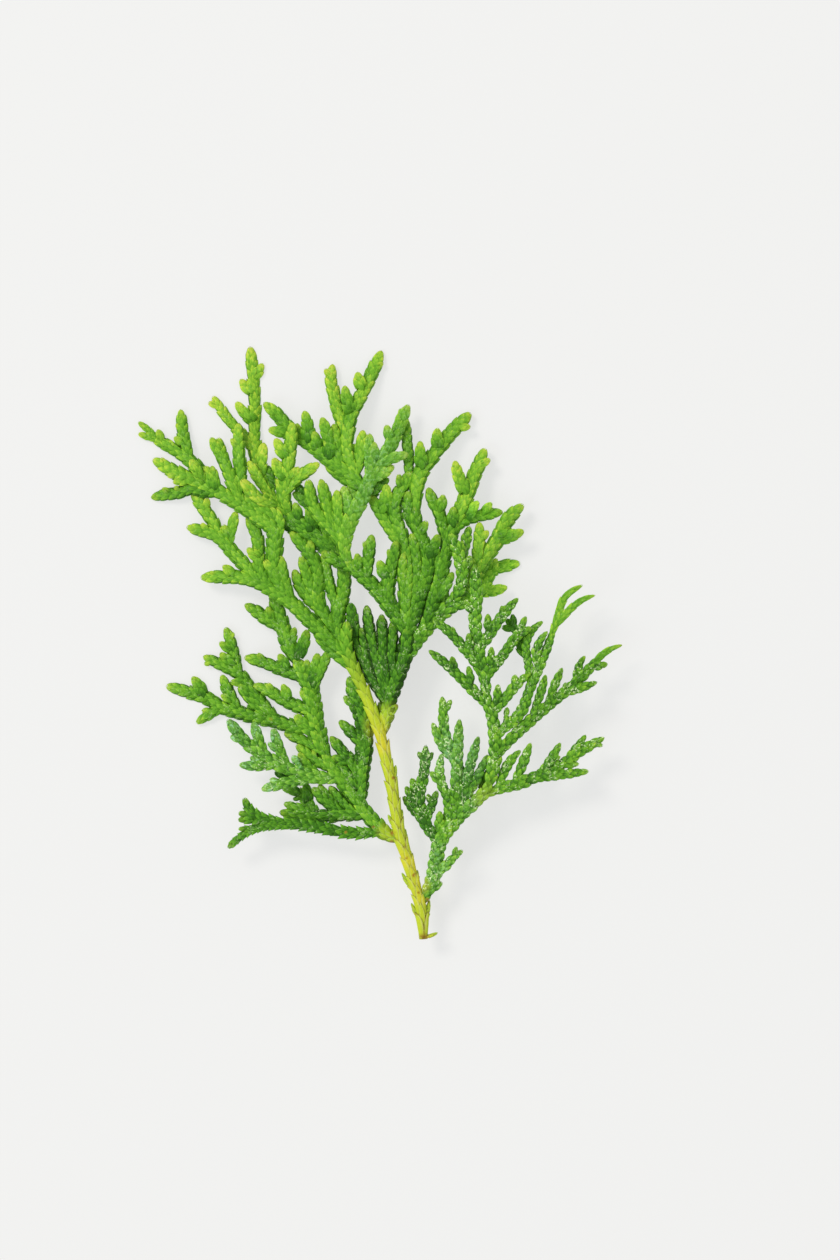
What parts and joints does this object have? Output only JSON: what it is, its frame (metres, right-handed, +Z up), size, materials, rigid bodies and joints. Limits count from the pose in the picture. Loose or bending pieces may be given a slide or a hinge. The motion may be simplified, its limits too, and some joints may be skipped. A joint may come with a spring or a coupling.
{
  "type": "arborvitae branch",
  "caption": "Flat cut spray of arborvitae with a yellow stem, fan-shaped scale-leaved branchlets and one side spray raised over the others, lying on a surface.",
  "frame": {"origin": "middle of the spray's outline seen from above, at the height of its lowest point", "axes": "+Y along the spray from the cut end to the tips, +Z up from the surface it lies on, +X to the right seen from above"},
  "size_m": [0.1064, 0.1304, 0.0138],
  "materials": {
    "stem_yellow": "smooth, slightly glossy, yellow to yellow-green",
    "fresh_green": "waxy scale leaves, light yellow-green",
    "mid_green": "waxy scale leaves, middle green",
    "deep_green": "waxy scale leaves, dark glossy green"
  },
  "bodies": {
    "root": {"main_stem": "stem_yellow", "left_arm": "fresh_green", "left_arm_outer_fork": "fresh_green", "left_arm_upper_fork": "fresh_green", "left_arm_inner_fork": "fresh_green", "long_left_spray": "fresh_green", "long_left_upper_fork": "fresh_green", "long_left_lower_fork": "mid_green", "long_left_inner_fork": "fresh_green", "leader_lower": "mid_green", "leader_side_fork": "fresh_green", "leader_middle": "mid_green", "leader_upper": "fresh_green", "leader_left_fork": "fresh_green", "leader_right_fork": "fresh_green", "centre_spray": "deep_green", "centre_crossing": "mid_green", "centre_inner_fork": "mid_green", "centre_left_fork": "fresh_green", "upper_centre_spray": "mid_green", "upper_left_fork": "fresh_green", "top_fork": "fresh_green", "top_left_fork": "fresh_green", "centre_column": "mid_green", "centre_column_fork": "mid_green", "right_column": "mid_green", "right_column_top": "fresh_green", "right_branch": "mid_green", "right_branch_top": "fresh_green", "right_branch_side_twig": "fresh_green", "right_low_branch": "mid_green", "right_low_upper_fork": "mid_green", "right_lowest_branch": "fresh_green", "right_outer_branch": "fresh_green", "lower_left_stem": "mid_green", "lower_left_middle": "mid_green", "lower_left_upper": "mid_green", "lower_left_side_twig": "mid_green", "left_tip_spray": "mid_green", "left_tip_upper_fork": "mid_green", "low_blue_spray": "deep_green", "low_inner_column": "deep_green", "low_short_spray": "mid_green", "low_under_twig": "deep_green", "lowest_spray": "deep_green", "raised_spray_lower": "deep_green", "raised_spray_middle": "deep_green", "raised_spray_upper": "deep_green", "raised_left_fork": "deep_green", "raised_right_fork": "deep_green", "raised_right_lower_fork": "deep_green", "raised_outer_upper": "deep_green", "raised_outer_middle": "deep_green", "raised_outer_lower": "deep_green", "raised_inner_long": "deep_green", "raised_inner_short": "deep_green", "raised_inner_middle": "deep_green", "raised_inner_left": "deep_green"}
  },
  "joints": []
}
